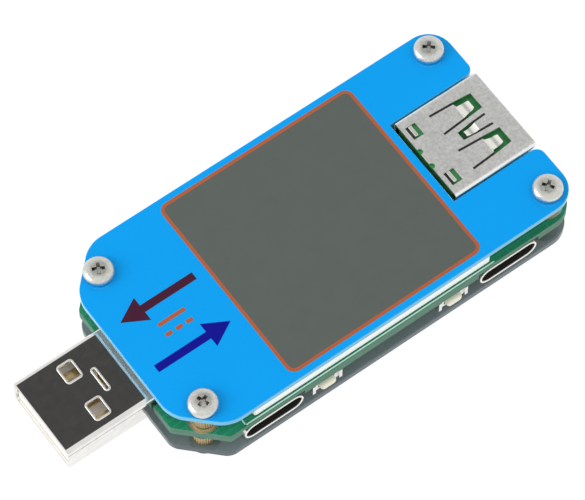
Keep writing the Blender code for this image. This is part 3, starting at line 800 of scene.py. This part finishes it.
def spring_slits(stations, z0, z1):
    """The slits down both sides of a spring, from its root to its bend."""
    (x0, near0, far0, _), (x1, near1, far1, _) = stations[:2]
    return [prism([(x0, near0 - slit), (x1, near1 - slit), (x1, near1), (x0, near0)], z0, z1),
            prism([(x0, far0), (x1, far1), (x1, far1 + slit), (x0, far0 + slit)], z0, z1)]


def spring_opening(stations, end, half, z0, z1):
    """The opening past the bend of a spring, which narrows to half a width at its end."""
    x, near, far, _ = stations[1]
    start = x - 0.01 * mm
    return prism([(start, near - slit), (end, -half), (end, half), (start, far + slit)], z0, z1)


def spring_parts(stations, end, half, place, spin=0.0):
    """What is cut for a spring, black blocks below its slits that paint the shade in the cavity there, and
    its bent tip, all in place.
    """
    cutters = spring_slits(stations, -through, past)
    cutters.append(spring_opening(stations, end, half, -through, past))
    # painted shade: black blocks under the slits, where the cavity beside the spring is in shade
    slit_shadows = spring_slits(stations, -through, -0.32 * mm)
    tip = spring_shape(stations[1:])
    for shape in cutters + slit_shadows + [tip]:
        put(shape, place, spin=spin)
    return cutters, slit_shadows, tip


def in_mm(stations):
    """Stations given in millimetres, each with its sides in rising order."""
    return [(x * mm, min(near, far) * mm, max(near, far) * mm, z * mm) for x, near, far, z in stations]


def add_socket():
    low, high = socket_low, socket_high
    middle = (low + high) / 2
    top = high.z
    body = sleeve(section_corners(low, high, 0.5 * mm), shell_wall, high.x - low.x)
    put(body, (high.x, 0, middle.z), "plus_x")
    cutters, springs, shadows = [], [], []
    tail_length, tail_half = 0.42 * mm, 0.85 * mm
    tabs = [block(low.x, low.x + tail_length, -tail_half, tail_half, top - 0.25 * mm, top + 0.04 * mm,
                  0.05 * mm)]
    for side in (-1, 1):
        stations = in_mm([(0.0, -1.4 * side, 1.4 * side, 0.0), (3.5, -1.15 * side, 1.2 * side, 0.0),
                          (3.75, -1.0 * side, 0.8 * side, -0.26), (4.6, -0.8 * side, 0.75 * side, -0.36),
                          (5.15, -0.75 * side, 0.7 * side, -0.28), (5.45, -0.6 * side, 0.6 * side, -0.16)])
        place = (low.x + 4.1 * mm, side * 3.03 * mm, top)
        around, slit_shadows, tip = spring_parts(stations, 6.25 * mm, 1.26 * mm, place)
        cutters += around
        shadows += slit_shadows
        springs.append(tip)
        x, y = low.x + 1.35 * mm, side * 4.0 * mm
        cutters.append(prism(oblong(x, y, 1.5 * mm, 2.0 * mm, 0.0), top - through, top + past))
        y0, y1 = y - 0.68 * mm, y + 0.98 * mm
        tabs.append(block(x - 0.36 * mm, x + 0.16 * mm, y0, y1, top - 0.3 * mm, top - 0.02 * mm, 0.1 * mm))
        # painted shade: a black block under each retention window, where the cavity is in shade
        shadows.append(block(x - 0.74 * mm, x - 0.3 * mm, y0, y1, top - through, top - 0.3 * mm, 0.04 * mm))
    stations = in_mm([(0.0, -0.68, 0.68, 0.0), (1.9, -0.58, 0.58, 0.0), (2.4, -0.52, 0.52, -0.26),
                      (3.3, -0.42, 0.42, -0.3), (3.7, -0.4, 0.4, -0.12)])
    place = (low.x + 10.05 * mm, 0, top)
    around, slit_shadows, tip = spring_parts(stations, 4.45 * mm, 0.65 * mm, place, pi)
    cutters += around
    shadows += slit_shadows
    springs.append(tip)
    for side in (-1, 1):
        cutters.append(rod(0.42 * mm, low.x + 0.1 * mm, side * 1.25 * mm, top - through, top + past, 24))
    finish_piece("socket_can", cut(body, cutters), silver_steel, replaces=["socket_shell"])
    finish_piece("socket_springs", join(springs), pale_steel, sharp=40)
    finish_piece("socket_tabs", join(tabs), pale_steel)
    finish_piece("socket_shadows", join(shadows), black_plastic)


# ---------------------------------------------------------------- small sockets


def add_small_socket(node, facing, radius, corners=None):
    """A shell with a black sheet inside that paints the shade in it: a rounded box, or corners across and up,
    about its middle.
    """
    low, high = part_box(node + "_shell")
    middle = (low + high) / 2
    half, rise = (high.x - low.x) / 2, (high.z - low.z) / 2
    outline = corners or rectangle(-half, half, -rise, rise, radius)
    depth = high.y - low.y
    wall, back, steps = 0.28 * mm, 0.65 * mm, 12
    shade_sheet, shade_sheet_start, shade_sheet_end = 0.05 * mm, 0.15 * mm, 0.85 * mm
    inward = 1 if facing == "minus_y" else -1
    face_y = low.y if inward > 0 else high.y
    shape = can(outline, wall, depth, depth - back, sheet_edge, steps)
    put(shape, (middle.x, face_y, middle.z), facing)
    finish_piece(node + "_can", shape, pale_steel, replaces=[node + "_shell"])
    inner = [(x * (half - wall) / half, z * (rise - wall) / rise, corner - wall) for x, z, corner in outline]
    # painted shade: a black sheet inside the shell, where the socket is in shade
    shape = can(inner, shade_sheet, depth - shade_sheet_end, depth - shade_sheet_end - shade_sheet, 0, steps)
    put(shape, (middle.x, face_y + inward * shade_sheet_start, middle.z), facing)
    finish_piece(node + "_inner_shade", shape, black_plastic)


def add_small_sockets():
    for node in ("usb_c_input", "usb_c_output"):
        add_small_socket(node, "minus_y", 1.49 * mm)
    half, rise, slope, radius = 3.7 * mm, 1.375 * mm, 1.0 * mm, 0.5 * mm
    corners = [(-half + slope, -rise, radius), (half - slope, -rise, radius), (half, 0.0, radius),
               (half, rise, radius), (-half, rise, radius), (-half, 0.0, radius)]
    add_small_socket("micro_usb", "plus_y", radius, corners)


# ---------------------------------------------------------------- side buttons


def add_buttons():
    for side, facing in ((-1, "minus_y"), (1, "plus_y")):
        for number in (1, 2):
            name = f"{'near' if side < 0 else 'far'}_button_{number}"
            low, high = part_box(name + "_plunger")
            half, rise = (high.x - low.x) / 2, (high.z - low.z) / 2
            middle = (low + high) / 2
            depth = high.y - low.y
            shape = prism(rectangle(-half, half, -rise, rise, min(half, rise) * 0.9), -depth, 0.0)
            ease(shape, 0.4 * mm, (0.0,), 5)
            face_y = low.y if side < 0 else high.y
            put(shape, (middle.x, face_y, middle.z), facing)
            finish_piece(name + "_cap", shape, cream_plastic, body=name, replaces=[name + "_plunger"],
                         sharp=40)


# ---------------------------------------------------------------- carried-over nodes

carried = {
    "display_glass": dark_glass,
    "display_ribbon": amber_film,
    "plug_insulator": ivory_plastic,
    "socket_insulator": green_plastic,
    "clock_crystal": silver_steel,
    "input_capacitor": brown_ceramic,
}


def dress_nodes():
    """Gives each node of the frame that still shows its surface."""
    for name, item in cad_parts.items():
        if item.hide_render:
            continue
        surface = carried.get(name)
        if name.startswith(("plug_contact", "socket_contact")):
            surface = gold
        elif "base" in name:
            surface = bright_steel
        item.data.materials.clear()
        item.data.materials.append(surface or black_plastic)


# ---------------------------------------------------------------- studio


def add_floor():
    shape = bmesh.new()
    bmesh.ops.create_grid(shape, x_segments=1, y_segments=1, size=3.0)
    mesh = bpy.data.meshes.new("floor")
    shape.to_mesh(mesh)
    shape.free()
    floor = bpy.data.objects.new("floor", mesh)
    bpy.context.scene.collection.objects.link(floor)
    look = Surface("pale_floor", (0.12, 0.12, 0.12), 0.9)
    look.set("Emission Color", (1.0, 1.0, 1.0, 1.0))
    look.set("Emission Strength", 0.93)
    mesh.materials.append(look.material)


def add_world():
    """An even white surround with one dark card, which the plug's top mirrors."""
    world = bpy.data.worlds.new("studio")
    bpy.context.scene.world = world
    world.use_nodes = True
    graph = Graph(world.node_tree)
    background = graph.tree.nodes["Background"]
    ray = graph.node("ShaderNodeTexCoord", output="Generated")
    card = Vector((0.268, 0.367, 0.891)).normalized()
    closeness = graph.node("ShaderNodeVectorMath", {"operation": "DOT_PRODUCT"}, {0: ray, 1: card}, "Value")
    white, dark = 0.92, 0.07
    strength = graph.node("ShaderNodeMapRange", {"interpolation_type": "SMOOTHSTEP"},
                          {"Value": closeness, "From Min": cos(radians(13)), "From Max": cos(radians(8)),
                           "To Min": white, "To Max": dark})
    graph.fill(background.inputs["Strength"], strength)
    graph.fill(background.inputs["Color"], (1.0, 1.0, 1.0, 1.0))


def add_key_light():
    lamp = bpy.data.lights.new("key", "AREA")
    lamp.size = 0.35
    lamp.energy = 1.6
    key = bpy.data.objects.new("key", lamp)
    bpy.context.scene.collection.objects.link(key)
    key.location = (-0.5, 0.2, 0.3)
    key.rotation_euler = (-key.location).to_track_quat("-Z", "Y").to_euler()


def add_camera():
    data = bpy.data.cameras.new("camera")
    data.sensor_width = 36.0
    data.lens = 234.6
    camera = bpy.data.objects.new("camera", data)
    bpy.context.scene.collection.objects.link(camera)
    camera.location = (-125.1 * mm, -175.1 * mm, 430.8 * mm)
    elevation, azimuth = 62.77, -36.04
    camera.rotation_euler = (radians(90 - elevation), 0.0, radians(azimuth))
    data.clip_end = 10.0
    bpy.context.scene.camera = camera


add_plates()
add_print()
add_board_print()
add_screws()
add_spacers()
add_display()
add_plug()
add_socket()
add_small_sockets()
add_buttons()
dress_nodes()
add_floor()
add_world()
add_key_light()
add_camera()
bpy.context.scene.view_settings.view_transform = "Standard"
